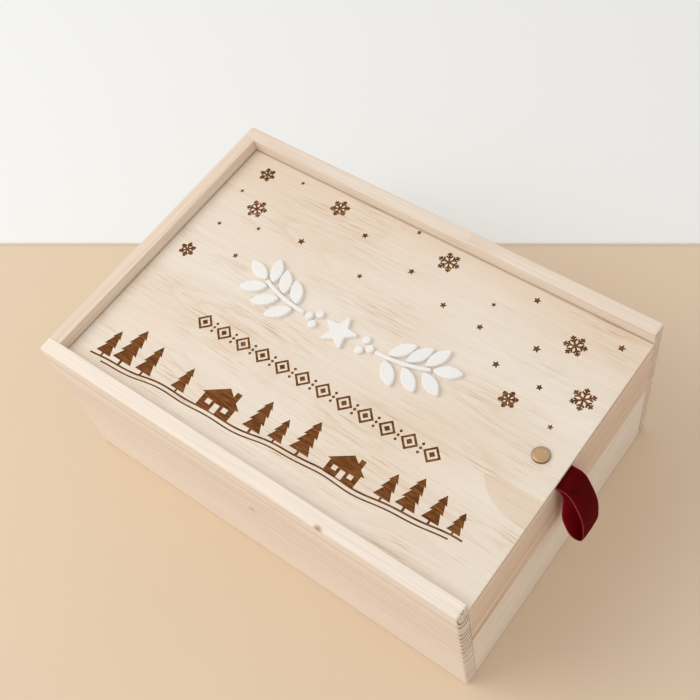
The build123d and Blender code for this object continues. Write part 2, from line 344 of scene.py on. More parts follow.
def veneer_lines(tree, bent):
    """Short pore lines and the contours of a pointed figure, both strongest in the same drifts."""
    # Drifts about 100 mm long and 30 mm wide
    where = streaks(tree, bent, (10, 34, 1), 1.0, (2.1, 0.4, 0))
    amount = node(tree, "MapRange", {0: where, 1: 0.44, 2: 0.68, 3: 0.12, 4: 0.85})
    # Pore lines about 25 mm long and 0.7 mm wide
    pore = streaks(tree, bent, (40, 1400, 60), 1.0, (0.2, 0.7, 0))
    dash = node(tree, "MapRange", {0: pore, 1: 0.58, 2: 0.72})
    pores = node(tree, "Math", {0: dash, 1: amount}, operation="MULTIPLY")
    # A slow height field, about 280 mm long and 55 mm wide, whose contours are the figure
    field = streaks(tree, bent, (3.5, 18, 1), 1.0, (0.37, 1.9, 0))
    steps = node(tree, "Math", {0: field, 1: 22.0}, operation="MULTIPLY")
    step = node(tree, "Math", {0: steps}, operation="FRACT")
    contour = node(tree, "ValToRGB", {"Fac": step}, stops=(
        (0, grey(0.0)), (0.45, grey(0.03)), (0.88, grey(0.26)), (0.97, grey(0.04))))
    figure = node(tree, "Math", {0: contour, 1: amount}, operation="MULTIPLY")
    return node(tree, "Math", {0: figure, 1: pores}, operation="MAXIMUM")


def tan_patch(tree, bent):
    """A pointed patch towards the pull: its edges bend away from the tip and then run with the grain."""
    split = node(tree, "SeparateXYZ", {0: bent})
    past = node(tree, "Math", {0: split.outputs["X"], 1: PATCH_X * MM}, operation="SUBTRACT")
    past = node(tree, "Math", {0: past, 1: 0.0}, operation="MAXIMUM")
    gaps = []
    # How far each edge gets from the tip, over what length it bends, and its side
    for reach, length, side in ((3.6, 5, -1.0), (20, 12, 1.0)):
        decay = node(tree, "Math", {0: past, 1: -1 / (length * MM)}, operation="MULTIPLY")
        decay = node(tree, "Math", {0: decay}, operation="EXPONENT")
        tip = -side * PATCH_Y
        bow = node(tree, "MapRange", {0: decay, 3: (tip + reach) * MM, 4: tip * MM})
        gap = node(tree, "Math", {0: split.outputs["Y"], 1: side, 2: bow}, operation="MULTIPLY_ADD")
        gaps.append(gap)
    inside = node(tree, "Math", {0: gaps[0], 1: gaps[1]}, operation="MINIMUM")
    return node(tree, "MapRange", {0: inside, 1: 0.0, 2: 1.0 * MM, 3: 0.0, 4: 0.6})


def painted_joint_shadow(tree, place):
    """Painted shadow beside the left and back walls, where the sheet meets them: a shade that falls off away
    from them.
    """
    split = node(tree, "SeparateXYZ", {0: place})
    left = node(tree, "Math", {0: split.outputs["X"], 1: LEFT_FACE * MM}, operation="SUBTRACT")
    back = node(tree, "Math", {0: BACK_FACE * MM, 1: split.outputs["Y"]}, operation="SUBTRACT")
    nearest = node(tree, "Math", {0: left, 1: back}, operation="MINIMUM")
    return node(tree, "MapRange", {0: nearest, 1: 0.4 * MM, 2: 2.2 * MM, 3: 0.6, 4: 1.0},
                interpolation_type="SMOOTHSTEP")


def veneer(name, s):
    """Sanded face veneer of plywood: pale, with faint long fibres, short pore lines, a soft pointed figure,
    one tan patch towards the pull, and a painted shadow along the left and back walls."""
    material, tree, place = new_material(name)
    # The grain wanders a little: by up to 3 mm over about 200 mm
    drift = streaks(tree, place, (5, 13, 1), 2.0, (0.3, 0.8, 0))
    aside = node(tree, "MapRange", {0: drift, 3: -6 * MM, 4: 6 * MM})
    sideways = node(tree, "CombineXYZ", {"Y": aside})
    bent = node(tree, "VectorMath", {0: place, 1: sideways}, operation="ADD")
    # The sheet is warmer in patches about 170 mm long and 60 mm wide, and towards its back edge
    patch = streaks(tree, place, (6, 17, 1), 2.0, (0.9, 0.1, 0))
    tone = node(tree, "MapRange", {0: patch, 1: 0.38, 2: 0.75, 3: 0.0, 4: 0.5})
    y = node(tree, "SeparateXYZ", {0: bent}).outputs["Y"]
    rear = node(tree, "MapRange", {0: y, 1: 30 * MM, 2: LID_HIGH[1] * MM, 3: 0.0, 4: 0.4},
                interpolation_type="SMOOTHSTEP")
    warm = node(tree, "Math", {0: rear, 1: tone}, operation="ADD")
    warm = node(tree, "Math", {0: warm, 1: tan_patch(tree, bent)}, operation="ADD", use_clamp=True)
    ground = node(tree, "Mix", {0: warm, 6: (*s.veneer, 1), 7: (*s.warm, 1)}, data_type="RGBA")
    lines = veneer_lines(tree, bent)
    lined = node(tree, "Mix", {0: lines, 6: ground, 7: (*s.figure, 1)}, data_type="RGBA")
    # Fibres about 70 mm long and 1.2 mm wide
    fibre = streaks(tree, bent, (14, 800, 60), 4.0)
    shade = node(tree, "MapRange", {0: fibre, 1: 0.25, 2: 0.75, 3: 0.95, 4: 1.03})
    # Painted shadow along the left and back walls, where the sheet meets them
    shade = node(tree, "Math", {0: shade, 1: painted_joint_shadow(tree, place)}, operation="MULTIPLY")
    paint = node(tree, "Mix", {0: 1.0, 6: lined, 7: shade}, data_type="RGBA", blend_type="MULTIPLY")
    bump = node(tree, "Bump", {"Strength": 0.1, "Distance": 0.2 * MM, "Height": fibre})
    rough = node(tree, "MapRange", {0: fibre, 3: 0.6, 4: 0.75})
    return surface(material, {
        "Base Color": paint, "Roughness": rough, "Normal": bump, "Specular IOR Level": 0.12})


def burnt_wood(name, dark, pale):
    """Laser-burnt wood: matte brown char with the veneer's fibres left as streaks."""
    material, tree, place = new_material(name)
    # Streaks about 8 mm long and 0.8 mm wide
    streak = streaks(tree, place, (120, 1300, 60), 3.0)
    paint = node(tree, "ValToRGB", {"Fac": streak}, stops=((0, dark), (0.38, dark), (0.62, pale)))
    bump = node(tree, "Bump", {"Strength": 0.4, "Distance": 0.2 * MM, "Height": streak})
    return surface(material, {
        "Base Color": paint, "Roughness": 0.9, "Normal": bump, "Specular IOR Level": 0.05})


def ply_edge(name, s, bottom, thickness):
    """Cut edge of three-ply: pale face plies about a darker core of end grain."""
    material, tree, place = new_material(name)
    z = node(tree, "SeparateXYZ", {0: place}).outputs["Z"]
    height = node(tree, "MapRange", {0: z, 1: bottom * MM, 2: (bottom + thickness) * MM})
    plies = node(tree, "ValToRGB", {"Fac": height}, stops=(
        (0, s.veneer), (0.28, s.veneer), (0.32, s.figure), (0.68, s.figure), (0.72, s.veneer)))
    # Open pores about 1.1 mm apart and 3 mm tall
    grit = streaks(tree, place, (900, 900, 300), 2.0)
    shade = node(tree, "MapRange", {0: grit, 1: 0.3, 2: 0.7, 3: 0.9, 4: 1.02})
    paint = node(tree, "Mix", {0: 1.0, 6: plies, 7: shade}, data_type="RGBA", blend_type="MULTIPLY")
    bump = node(tree, "Bump", {"Strength": 0.2, "Distance": 0.2 * MM, "Height": grit})
    return surface(material, {
        "Base Color": paint, "Roughness": 0.9, "Normal": bump, "Specular IOR Level": 0.05})


def white_acrylic(name, s):
    """Matte white acrylic with softened edges: nearly even, with a faint cloud and a fine satin tooth."""
    material, tree, place = new_material(name)
    # Clouds about 17 mm across and a tooth of about 0.4 mm
    cloud = node(tree, "TexNoise", {"Vector": place, "Scale": 60.0, "Detail": 2.0})
    tooth = node(tree, "TexNoise", {"Vector": place, "Scale": 2500.0, "Detail": 1.0})
    shade = node(tree, "MapRange", {0: cloud, 1: 0.3, 2: 0.7, 3: 0.965, 4: 1.0})
    paint = node(tree, "Mix", {0: 1.0, 6: (*s.white, 1), 7: shade}, data_type="RGBA", blend_type="MULTIPLY")
    bump = node(tree, "Bump", {"Strength": 0.05, "Distance": 0.1 * MM, "Height": tooth})
    rough = node(tree, "MapRange", {0: cloud, 3: 0.42, 4: 0.55})
    return surface(material, {"Base Color": paint, "Roughness": rough, "Normal": bump})


def velvet(name, s):
    """Crimson velvet ribbon: deep where it is seen into, lighter along the nap, with a painted sheen on the
    strand that comes back and a paler woven edge.
    """
    material, tree, uv = new_material(name, "UV")
    # Tufts drawn about 0.5 mm apart, coarser than a real nap, so that they show
    tuft = node(tree, "TexNoise", {"Vector": uv, "Scale": 2000.0, "Detail": 2.0})
    # Brushed patches about 20 mm across
    brushed_and_sheen = node(tree, "TexNoise", {"Vector": uv, "Scale": 55.0, "Detail": 2.0})
    mixed = node(tree, "Math", {0: tuft, 1: brushed_and_sheen}, operation="MULTIPLY")
    lift = node(tree, "MapRange", {0: mixed, 1: 0.12, 2: 0.4, 3: 0.7, 4: 1.15})
    split = node(tree, "SeparateXYZ", {0: uv})
    # The strand that comes back starts past the loop's lowest point, about 100 mm along the ribbon
    back = node(tree, "MapRange", {0: split.outputs["X"], 1: 96 * MM, 2: 112 * MM})
    # Painted sheen: the strand that comes back is coloured a lighter red
    nap = node(tree, "Mix", {0: back, 6: (*s.nap, 1), 7: (*s.brushed_and_sheen, 1)}, data_type="RGBA")
    half = (RIBBON_HIGH[1] - RIBBON_LOW[1]) / 2
    off_middle = node(tree, "Math", {0: split.outputs["Y"]}, operation="ABSOLUTE")
    edge = node(tree, "MapRange", {0: off_middle, 1: (half - 0.7) * MM, 2: (half - 0.25) * MM})
    cloth = node(tree, "Mix", {0: edge, 6: nap, 7: (*s.selvedge, 1)}, data_type="RGBA")
    paint = node(tree, "Mix", {0: 1.0, 6: cloth, 7: lift}, data_type="RGBA", blend_type="MULTIPLY")
    bump = node(tree, "Bump", {"Strength": 0.35, "Distance": 0.2 * MM, "Height": tuft})
    return surface(material, {
        "Base Color": paint, "Roughness": 0.95, "Normal": bump, "Specular IOR Level": 0.05,
        "Sheen Weight": 0.15, "Sheen Roughness": 0.3, "Sheen Tint": (*s.sheen, 1),
    })


def antique_brass(name, s, center, reach):
    """Turned brass with a dark finish rubbed back on its face: brushed, with patina left towards the rim."""
    material, tree, place = new_material(name)
    middle = (center[0] * MM, center[1] * MM, 0)
    out = node(tree, "VectorMath", {0: place, 1: middle}, operation="SUBTRACT")
    flat = node(tree, "VectorMath", {0: out, 1: (1, 1, 0)}, operation="MULTIPLY")
    radius = node(tree, "VectorMath", {0: flat}, operation="LENGTH")
    # Scratches about 3 mm long and 0.4 mm wide
    scratch = streaks(tree, place, (300, 2600, 300), 2.0, turn=0.6)
    rim = node(tree, "MapRange", {0: radius, 1: 0.93 * reach * MM, 2: reach * MM, 3: 0.0, 4: 0.9})
    stain = node(tree, "MapRange", {0: scratch, 1: 0.35, 2: 0.75, 3: 0.0, 4: 0.3})
    dark = node(tree, "Math", {0: rim, 1: stain}, operation="ADD", use_clamp=True)
    paint = node(tree, "Mix", {0: dark, 6: (*s.brass, 1), 7: (*s.patina, 1)}, data_type="RGBA")
    rough = node(tree, "MapRange", {0: scratch, 3: 0.42, 4: 0.66})
    bump = node(tree, "Bump", {"Strength": 0.15, "Distance": 0.1 * MM, "Height": scratch})
    return surface(material, {"Base Color": paint, "Metallic": 1.0, "Roughness": rough, "Normal": bump})


def brad_wire(name, s):
    """Drawn steel wire, bright with faint draw marks."""
    material, tree, place = new_material(name)
    # Marks about 0.6 mm apart
    marks = node(tree, "TexNoise", {"Vector": place, "Scale": 1800.0, "Detail": 2.0})
    shade = node(tree, "MapRange", {0: marks, 3: 0.8, 4: 1.0})
    paint = node(tree, "Mix", {0: 1.0, 6: (*s.steel, 1), 7: shade}, data_type="RGBA", blend_type="MULTIPLY")
    rough = node(tree, "MapRange", {0: marks, 3: 0.3, 4: 0.45})
    return surface(material, {"Base Color": paint, "Metallic": 1.0, "Roughness": rough})


def dress(names, material):
    """Gives the named nodes that one material."""
    for name in names:
        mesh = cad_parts[name].data
        mesh.materials.clear()
        mesh.materials.append(material)


def new_piece(name, points, faces, materials, body, smooth=True):
    """A mesh object at the origin, in metres from points in millimetres, that rides on a body."""
    mesh = bpy.data.meshes.new(name)
    mesh.from_pydata((np.asarray(points) * MM).tolist(), [], faces)
    mesh.polygons.foreach_set("use_smooth", np.full(len(mesh.polygons), smooth))
    for material in materials:
        mesh.materials.append(material)
    piece = bpy.data.objects.new(name, mesh)
    bpy.context.scene.collection.objects.link(piece)
    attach(piece, body)
    return piece


def bar(start, end, width):
    """A straight stroke as a four-sided outline: its ends moved half the width to each side."""
    start = np.asarray(start, float)
    end = np.asarray(end, float)
    run = (end - start) / np.hypot(*(end - start))
    side = np.array([-run[1], run[0]]) * width / 2
    return np.array([start - side, end - side, end + side, start + side])


def star(center, radius, notch=0.48, points=5):
    """A star's outline: points on a circle that change between the radius and its notch."""
    turn = math.pi / 2 + np.arange(2 * points) * math.pi / points
    reach = radius * np.where(np.arange(2 * points) % 2, notch, 1.0)
    return np.asarray(center) + np.stack([reach * np.cos(turn), reach * np.sin(turn)], axis=1)


def diamond(center, half):
    """A diamond's outline: one point at the half-width each way along both axes."""
    return np.asarray(center) + np.array([(half, 0), (0, half), (-half, 0), (0, -half)], float)


def snowflake(center, diameter, stroke, turn):
    """Six arms from the middle, each with two pairs of slanted twigs."""
    outlines = []
    reach = diameter / 2
    for angle in turn + np.arange(6) * math.pi / 3:
        ahead = np.array([math.cos(angle), math.sin(angle)])
        outlines.append(bar(center, center + reach * ahead, stroke))
        for start, length in ((0.42, 0.36), (0.7, 0.26)):
            fork = center + start * reach * ahead
            for lean in (-0.9, 0.9):
                twig = np.array([math.cos(angle + lean), math.sin(angle + lean)])
                outlines.append(bar(fork, fork + length * reach * twig, stroke))
    return outlines


def fir(x, foot, height, width, tiers, inset):
    """A fir's outline: on each tier the half-width grows straight to the tip, then steps back in."""
    level = np.arange(1, tiers + 1) / tiers
    trunk = 0.12 * height
    tip_y = foot + trunk + (height - trunk) * (1 - level) + inset
    tip_x = width / 2 * (0.35 + 0.65 * level) - 1.6 * inset
    step_x = 0.6 * tip_x
    step_y = tip_y + 0.025 * height
    side_x = np.stack([tip_x, step_x], axis=1).ravel()[:-1]
    side_y = np.stack([tip_y, step_y], axis=1).ravel()[:-1]
    stem = max(0.06 * width - 0.3 * inset, 0.3)
    right = np.column_stack([np.append(side_x, [stem, stem]), np.append(side_y, [tip_y[-1], foot + inset])])
    left = right[::-1] * (-1, 1)
    top = np.array([[0.0, foot + height - 1.8 * inset]])
    return np.array([x, 0]) + np.concatenate([top, left[::-1], right[::-1]])


def hut(x, foot, width, height, inset):
    """A hut's outline: walls, a pitched roof with eaves, and a chimney on its right slope."""
    half = width / 2 - inset
    eave = half + 2.5
    rise = 0.42 * width
    low = foot + inset
    ridge = foot + height + rise - 1.4 * inset
    wall = foot + height - 0.2 * inset
    slope = (ridge - wall) / eave
    stack = (0.38 * width - 0.5 * inset, 0.22 * width + 0.5 * inset)
    cap = ridge - 0.5 * inset
    return np.array([x, 0]) + np.array([
        (-half, low), (half, low), (half, wall), (eave, wall), (stack[0], wall + slope * (eave - stack[0])),
        (stack[0], cap), (stack[1], cap), (stack[1], wall + slope * (eave - stack[1])),
        (0, ridge), (-eave, wall), (-half, wall),
    ])


def ground(x):
    """Height of the drifted snow at x: a slope with two slow sine waves."""
    return -86.5 + 0.074 * x + 1.1 * np.sin(x / 17) + 0.6 * np.sin(x / 7.3 + 1)


def ground_line(start, end, below, width):
    """A stroke that follows the drifted snow at some distance below it."""
    x = np.linspace(start, end, 70)
    y = ground(x) - below
    upper = np.column_stack([x, y + width / 2])
    lower = np.column_stack([x, y - width / 2])
    return np.concatenate([lower, upper[::-1]])


def engraving(s):
    """The lid's engraved outlines with their tones, in the order in which they are burnt over each other."""
    stroke = s.stroke / MM
    rim = s.rim / MM
    painted = []
    for i, (x, y, diameter) in enumerate(SNOWFLAKES):
        painted += [(arm, SCORCHED) for arm in snowflake(np.array([x, y]), diameter, stroke, 0.25 * i)]
    painted += [(star((x, y), radius), SCORCHED) for x, y, radius in STARS]
    # A row of diamonds with small diamonds between them
    row_y, first, pitch, count = -36.0, -93.0, 17.5, 12
    for i in range(count):
        at = (first + i * pitch, row_y)
        painted += [(diamond(at, 6.8), SCORCHED), (diamond(at, 4.6), PLAIN), (diamond(at, 2.4), SCORCHED)]
        if i < count - 1:
            between = at[0] + pitch / 2
            painted += [(diamond((between, row_y + dy), 1.3), SCORCHED) for dy in (-3.4, 0, 3.4)]
    # Firs and huts on two drifted lines
    painted.append((ground_line(-148, 148, 0, stroke), SCORCHED))
    painted.append((ground_line(-136, 140, 3.4, 0.8 * stroke), SCORCHED))
    for x, height, width, tiers in FIRS:
        for inset, tone in ((0, SCORCHED), (rim, BURNT)):
            painted.append((fir(x, ground(x), height, width, tiers, inset), tone))
    # A window to each side of a door: middle and width in the hut's width, foot and height in its height
    panes = ((-0.26, 0.16, 0.42, 0.34), (0.26, 0.16, 0.42, 0.34), (0, 0.17, 0.08, 0.62))
    for x, width, height in HUTS:
        foot = ground(x) - 0.6
        for inset, tone in ((0, SCORCHED), (rim, BURNT)):
            painted.append((hut(x, foot, width, height, inset), tone))
        for middle, wide, low, tall in panes:
            corner = (x + (middle - wide / 2) * width, foot + low * height)
            across, up = wide * width, tall * height
            painted.append((np.array([(0, 0), (across, 0), (across, up), (0, up)]) + corner, PLAIN))
    return painted


def engraved_lid(s):
    """Points, faces and material numbers of the lid.

    The face is cut into triangles along every outline. A triangle takes the tone of the last outline that
    holds it, and burnt ones lie lower by the engraving's depth. A wall joins each pair of levels, and four
    rings with eased edges close the sheet's sides and its underside.
    """
    arris = s.arris / MM
    low, high = LID_LOW, LID_HIGH
    edge = np.array([(low[0], low[1]), (high[0], low[1]), (high[0], high[1]), (low[0], high[1])])
    inward = np.array([(1, 1), (-1, 1), (-1, -1), (1, -1)]) * arris
    painted = [(edge + inward, PLAIN)] + engraving(s)
    counts = [len(outline) for outline, _ in painted]
    starts = np.cumsum([0] + counts[:-1])
    flat = np.concatenate([outline for outline, _ in painted])
    loops = [list(range(start, start + count)) for start, count in zip(starts, counts)]
    found = delaunay_2d_cdt([Vector(p) for p in flat.tolist()], [], loops, 0, 1e-4)
    plane = np.array([tuple(p) for p in found[0]])
    triangles = np.array(found[2])
    tones = np.array([tone for _, tone in painted])[[max(owners) for owners in found[5]]]
    sunk = tones != PLAIN
    total = len(plane)
    top = np.column_stack([plane, np.full(total, high[2])])
    floor = np.column_stack([plane, np.full(total, high[2] - s.depth / MM)])
    faces = triangles + total * sunk[:, None]
    # Walls stand on the edges of burnt triangles whose neighbour isn't burnt
    ends = np.concatenate([triangles[:, [0, 1]], triangles[:, [1, 2]], triangles[:, [2, 0]]])
    deep = np.tile(sunk, 3)
    key = ends[:, 0] * total + ends[:, 1]
    shallow_back = np.sort(ends[~deep][:, 1] * total + ends[~deep][:, 0])
    spot = np.minimum(np.searchsorted(shallow_back, key), len(shallow_back) - 1)
    a, b = ends[deep & (shallow_back[spot] == key)].T
    walls = np.column_stack([a + total, a, b, b + total])
    rings = [
        (edge + inward, high[2]), (edge, high[2] - arris), (edge, low[2] + arris), (edge + inward, low[2]),
    ]
    sides = np.concatenate([np.column_stack([outline, np.full(4, z)]) for outline, z in rings])
    ring = (2 * total + np.arange(16).reshape(4, 4)).tolist()
    bands = [[ring[k][i], ring[k + 1][i], ring[k + 1][(i + 1) % 4], ring[k][(i + 1) % 4]]
             for k in range(3) for i in range(4)]
    under = [ring[3][::-1]]
    slots = np.concatenate([tones, np.full(len(walls), SCORCHED), np.full(len(bands), PLY_EDGE), [PLAIN]])
    return np.concatenate([top, floor, sides]), faces.tolist() + walls.tolist() + bands + under, slots


def skin(x, y, z):
    """Points and faces of a tube whose rings are the rows of its coordinates, closed at both ends."""
    points = np.stack([x, y, z], axis=2).reshape(-1, 3)
    index = np.arange(x.size).reshape(x.shape)
    here, there = index[:-1], index[1:]
    quads = np.stack([here, np.roll(here, -1, 1), np.roll(there, -1, 1), there], axis=2).reshape(-1, 4)
    return points, quads.tolist() + [index[0][::-1].tolist(), index[-1].tolist()]


def rounded_path(corners, radii, step):
    """Points, about a step apart, along straight runs whose corners are arcs that touch both runs."""
    corners = np.asarray(corners, float)
    pieces = [corners[:1]]
    for before, corner, after, radius in zip(corners, corners[1:], corners[2:], radii):
        back = (before - corner) / np.hypot(*(before - corner))
        ahead = (after - corner) / np.hypot(*(after - corner))
        half = math.acos(np.clip(back @ ahead, -1, 1)) / 2
        middle = corner + (back + ahead) / np.hypot(*(back + ahead)) * radius / math.sin(half)
        start = corner + back * radius / math.tan(half) - middle
        sense = -np.sign(back[0] * ahead[1] - back[1] * ahead[0])
        turn = sense * np.linspace(0, math.pi - 2 * half, 24)[:, None]
        across = np.array([-start[1], start[0]])
        pieces.append(middle + np.cos(turn) * start + np.sin(turn) * across)
    pieces.append(corners[-1:])
    line = np.concatenate(pieces)
    gone = np.append(0, np.cumsum(np.hypot(*np.diff(line, axis=0).T)))
    even = np.linspace(0, gone[-1], int(gone[-1] / step))
    return np.column_stack([np.interp(even, gone, line[:, 0]), np.interp(even, gone, line[:, 1])])


def ribbon_band(s):
    """Points, faces, UVs, length and width of the ribbon: a flat section with round edges, carried along the
    loop's side view.

    The loop is straight runs and arcs, averaged along its length with a bell curve so that it flows.
    """
    upper = LID_LOW[2] - 0.3
    lower = upper - 0.7
    tail = RIBBON_LOW[0] + 0.2
    # The averaging draws the loop's lower corners in, so they stand a little further out
    toe = RIBBON_HIGH[0] + 0.9
    bottom = RIBBON_LOW[2] - 2.2
    corners = [
        (tail, upper), (RIGHT + CROWN_REACH, upper), (RIGHT + BELLY_REACH, upper - BELLY_DROP),
        (toe, bottom), (RIGHT + HEEL_REACH, bottom),
        (RIGHT + RETURN_REACH, upper - RETURN_DROP), (RIGHT + RETURN_REACH, lower), (tail, lower),
    ]
    line = rounded_path(corners, LOOP_ROUNDS, 0.8)
    spread = 15
    bell = np.exp(-np.linspace(-3, 3, 2 * spread + 1) ** 2 / 2)
    padded = np.pad(line, ((spread, spread), (0, 0)), mode="reflect", reflect_type="odd")
    line = np.column_stack([np.convolve(padded[:, k], bell / bell.sum(), mode="valid") for k in range(2)])
    ahead = np.gradient(line, axis=0)
    ahead /= np.hypot(*ahead.T)[:, None]
    normal = np.column_stack([-ahead[:, 1], ahead[:, 0]])
    gone = np.append(0, np.cumsum(np.hypot(*np.diff(line, axis=0).T)))
    half = (RIBBON_HIGH[1] - RIBBON_LOW[1]) / 2
    middle = (RIBBON_HIGH[1] + RIBBON_LOW[1]) / 2
    turn = np.linspace(0, 2 * math.pi, 72, endpoint=False)
    # A superellipse of high power is a strip with rounded edges
    across = half * np.sign(np.cos(turn)) * np.abs(np.cos(turn)) ** 0.25
    away = s.thickness / MM / 2 * np.sign(np.sin(turn)) * np.abs(np.sin(turn)) ** 0.25
    free = np.clip((line[:, 0] - RIGHT) / 6, 0, 1) ** 2
    lift = away[None, :] + (s.bow / MM * free)[:, None] * (1 - (across / half) ** 2)[None, :]
    sway = 0.5 * free * np.sin(gone / gone[-1] * 2 * math.pi)
    x = line[:, 0, None] + normal[:, 0, None] * lift
    y = middle + across[None, :] + sway[:, None]
    z = line[:, 1, None] + normal[:, 1, None] * lift
    points, faces = skin(x, y, z)
    uvs = np.stack([np.broadcast_to(gone[:, None], x.shape), np.broadcast_to(across, x.shape)], axis=2)
    return points, faces, uvs.reshape(-1, 2) * MM, gone[-1], 2 * half


def lathe(profile, center, segments=96):
    """A profile of radius and height turned about an upright axis, with a small flat at each end."""
    radius, height = np.asarray(profile, float).T
    turn = np.linspace(0, 2 * math.pi, segments, endpoint=False)
    x = center[0] + radius[:, None] * np.cos(turn)
    y = center[1] + radius[:, None] * np.sin(turn)
    return skin(x, y, np.broadcast_to(height[:, None], x.shape))


class PINEBOX_OT_walls(bpy.types.Operator):
    """Gives each board of the four walls its own cut of pine."""

    bl_idname = "pinebox.walls"
    bl_label = "Pine Walls"

    def execute(self, context):
        front_knots = ((6.4, FRONT, 84.6, 1.8), (73.0, FRONT + 1, WALL_TOP - 1, 2.2))
        # Painted light: the front boards keep the full early wood while the back and left boards are tinted
        # a little darker, so the front face shows brighter than its lamp lights it
        boards = {
            "front_wall_upper": Board(
                "X", (FRONT + 6, WALL_TOP + 3), squeeze=3.0, ring=6.6, contrast=0.6, warmth=0.1, seed=1.7,
                sap=(WALL_TOP - 2, WALL_TOP - 22), knots=front_knots),
            "front_wall_lower": Board(
                "X", (FRONT + 45, SEAM + 60), ring=4.6, contrast=0.4, warmth=0.1, seed=4.2, sap=(28, 46)),
            "back_wall_upper": Board(
                "X", (BACK - 4, WALL_TOP - 52), ring=3.0, contrast=0.4, warmth=0.4, seed=8.3, tint="#F7F5F2",
                joint=29),
            "back_wall_lower": Board(
                "X", (BACK + 40, 20), ring=3.6, contrast=0.35, warmth=0.6, seed=2.9, tint="#F7F5F2"),
            "left_end_upper": Board(
                "Y", (-LEFT + 30, WALL_TOP + 40), contrast=0.3, warmth=0.4, seed=5.1, tint="#F7F4F0"),
            "left_end_lower": Board(
                "Y", (-LEFT - 40, -30), ring=3.6, contrast=0.35, warmth=0.6, seed=6.6, tint="#F7F4F0"),
            "right_end_upper": Board(
                "Y", (-RIGHT - 9, SEAM + 4), ring=2.6, contrast=0.95, warmth=0.35, seed=3.3, tint="#F2E9E2",
                sap=(WALL_TOP, SEAM + 30)),
            "right_end_lower": Board(
                "Y", (-RIGHT + 60, -25), ring=6.5, contrast=0.2, warmth=0.2, seed=7.4, tint="#F6F8F9"),
        }
        for name, board in boards.items():
            dress([name], pine("pine_" + name, context.scene.pinebox_boards, board))
        return {"FINISHED"}


class PINEBOX_OT_base(bpy.types.Operator):
    """Finishes the plywood base and the brads."""

    bl_idname = "pinebox.base"
    bl_label = "Base and Brads"

    def execute(self, context):
        scene = context.scene
        dress(["base_panel"], veneer("plywood_base", scene.pinebox_lid))
        dress(["base_brads", "corner_brads"], brad_wire("bright_steel_wire", scene.pinebox_boards))
        return {"FINISHED"}


class PINEBOX_OT_lid(bpy.types.Operator):
    """Builds the plywood lid with its engraved ornaments."""

    bl_idname = "pinebox.lid"
    bl_label = "Engraved Lid"

    def execute(self, context):
        s = context.scene.pinebox_lid
        points, faces, slots = engraved_lid(s)
        materials = [
            veneer("plywood_face_veneer", s),
            burnt_wood("scorched_veneer", s.scorched, s.singed),
            burnt_wood("burnt_veneer", s.charred, s.burnt),
            ply_edge("plywood_cut_edge", s, LID_LOW[2], LID_HIGH[2] - LID_LOW[2]),
        ]
        lid = new_piece("engraved_lid", points, faces, materials, "lid", smooth=False)
        lid.data.polygons.foreach_set("material_index", slots.astype(np.int32))
        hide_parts("lid_panel")
        return {"FINISHED"}


class PINEBOX_OT_ornament(bpy.types.Operator):
    """Finishes the raised star, sprigs and berries."""

    bl_idname = "pinebox.ornament"
    bl_label = "Raised Ornament"

    def execute(self, context):
        material = white_acrylic("matte_white_acrylic", context.scene.pinebox_ornament)
        dress(["center_star", "sprig_stems", "sprig_leaves", "sprig_berries"], material)
        return {"FINISHED"}


class PINEBOX_OT_ribbon(bpy.types.Operator):
    """Builds the velvet ribbon loop that pulls the lid."""

    bl_idname = "pinebox.ribbon"
    bl_label = "Ribbon Loop"

    def execute(self, context):
        s = context.scene.pinebox_ribbon
        points, faces, uvs, length, width = ribbon_band(s)
        ribbon = new_piece("ribbon_loop", points, faces, [velvet("crimson_velvet", s)], "lid")
        layer = ribbon.data.uv_layers.new(name="ribbon")
        corner = np.empty(len(ribbon.data.loops), np.int32)
        ribbon.data.loops.foreach_get("vertex_index", corner)
        layer.data.foreach_set("uv", uvs[corner].ravel())
        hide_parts("ribbon_pull")
        return {"FINISHED"}


class PINEBOX_OT_stud(bpy.types.Operator):
    """Builds the brass stud's head and finishes its back."""

    bl_idname = "pinebox.stud"
    bl_label = "Brass Stud"

    def execute(self, context):
        s = context.scene.pinebox_stud
        center = (STUD_LOW + STUD_HIGH)[:2] / 2
        # The head is drawn a little narrower than the frame's disc
        reach = 0.95 * (STUD_HIGH[0] - STUD_LOW[0]) / 2
        seat, top = LID_HIGH[2], STUD_HIGH[2]
        bevel = 1.2
        # Radius and height: an eased foot, an upright side, a bevel and a slightly domed face
        profile = [
            (0.02, seat), (reach - 0.25, seat), (reach, seat + 0.25), (reach, top - 0.75),
            (reach - 0.12, top - 0.55), (reach - bevel, top - 0.06), (reach - bevel - 0.25, top),
            (0.3 * reach, top + 0.02), (0.02, top + 0.03),
        ]
        material = antique_brass("antique_brass", s, center, reach)
        points, faces = lathe(profile, center)
        head = new_piece("stud_head", points, faces, [material], "lid")
        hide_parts("stud_cap")
        dress(["stud_back"], material)
        return {"FINISHED"}


